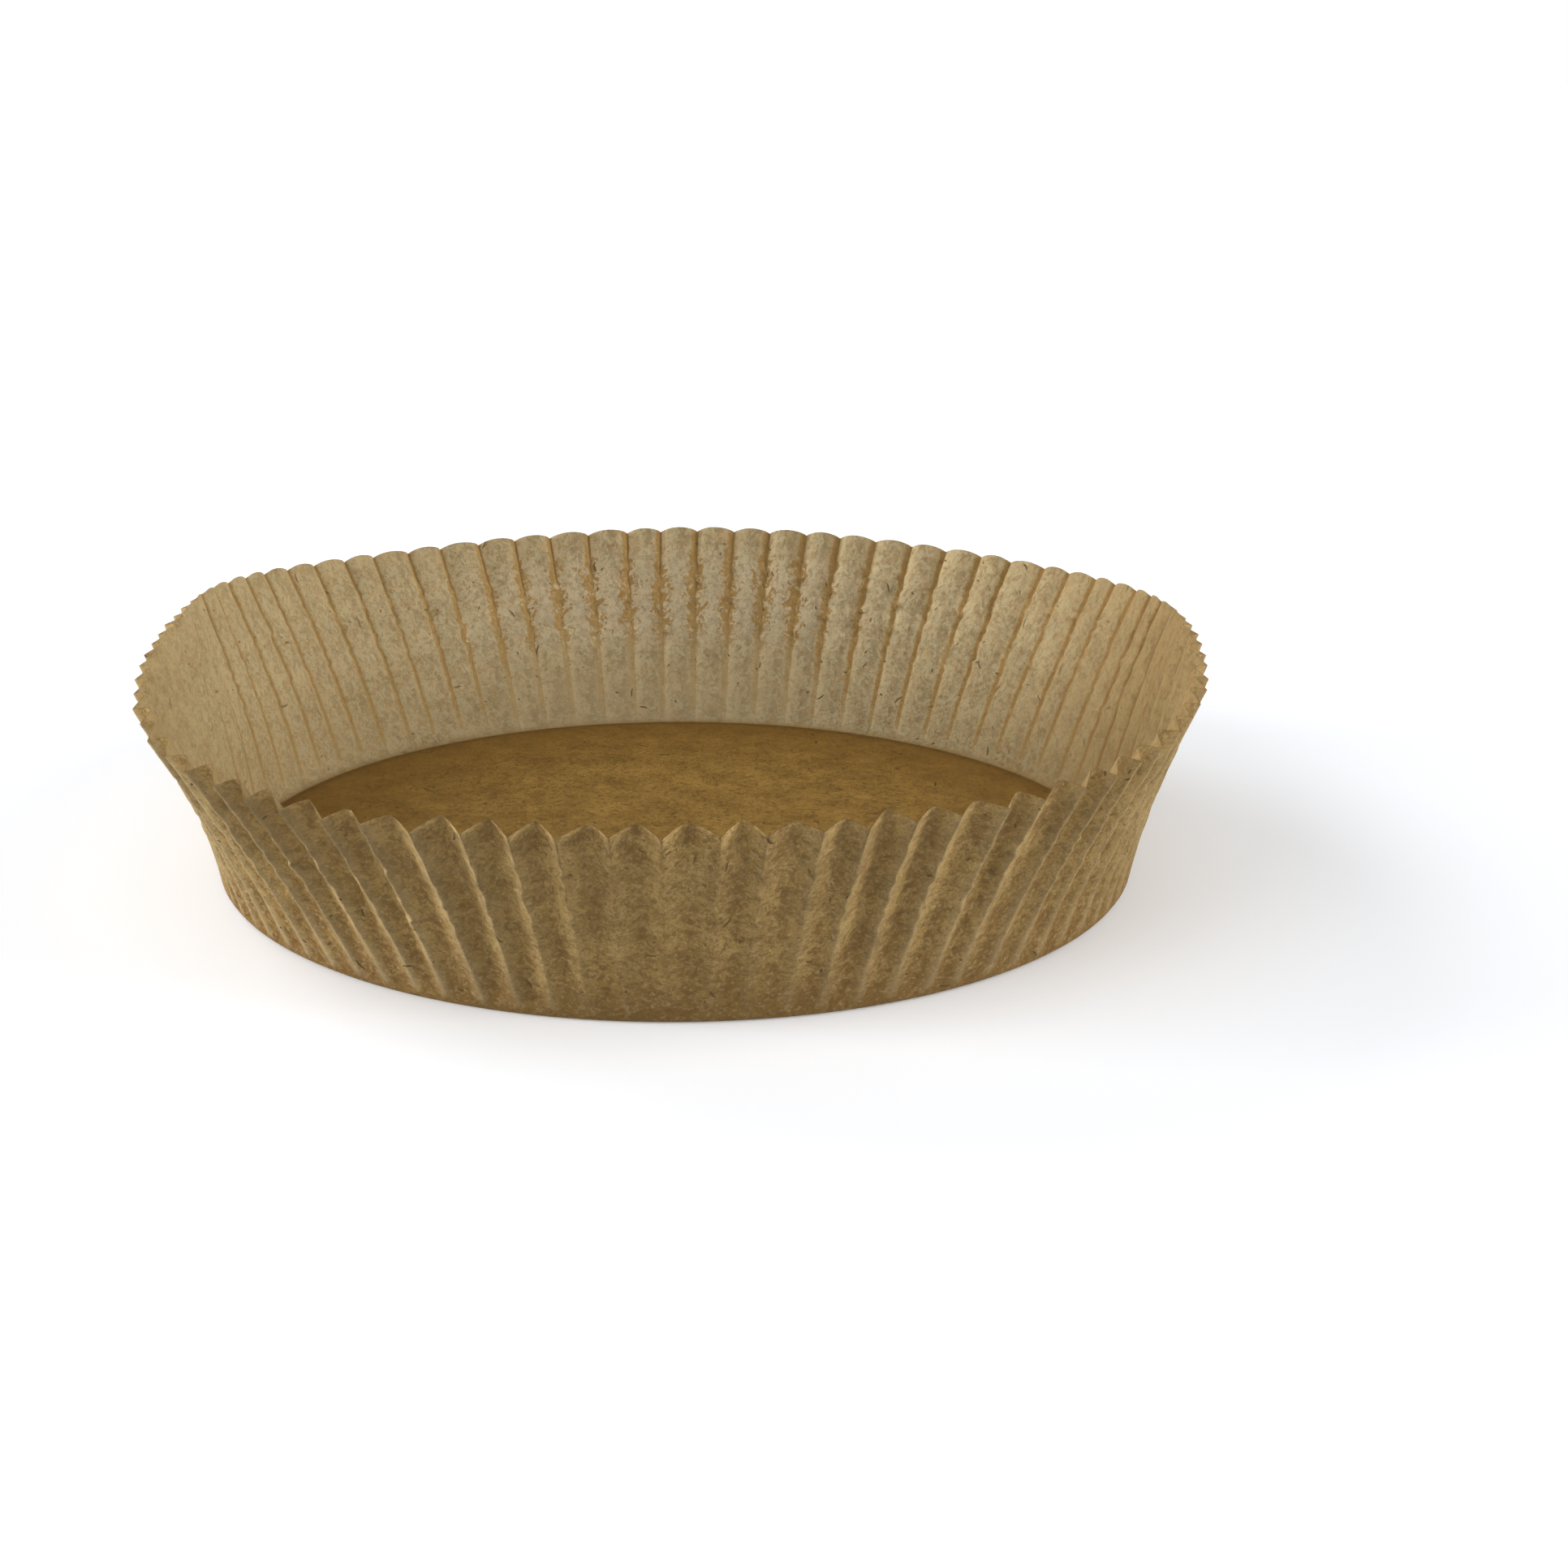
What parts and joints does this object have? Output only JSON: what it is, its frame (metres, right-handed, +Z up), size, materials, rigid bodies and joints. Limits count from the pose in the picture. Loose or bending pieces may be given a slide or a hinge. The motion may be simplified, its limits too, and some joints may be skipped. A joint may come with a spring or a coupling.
{
  "type": "air fryer paper liner",
  "caption": "Shallow round kraft paper cup with a flat floor and a fluted wall, laid in an air fryer basket to catch grease and crumbs.",
  "frame": {"origin": "centre of the underside of the floor, which the liner rests on", "axes": "+Z up out of the open cup; X and Y in the plane of the floor, with the settled rim a little longer along Y"},
  "size_m": [0.2218, 0.245, 0.0505],
  "materials": {
    "kraft_paper": "matte"
  },
  "bodies": {
    "root": {"paper_liner": "kraft_paper"}
  },
  "joints": []
}
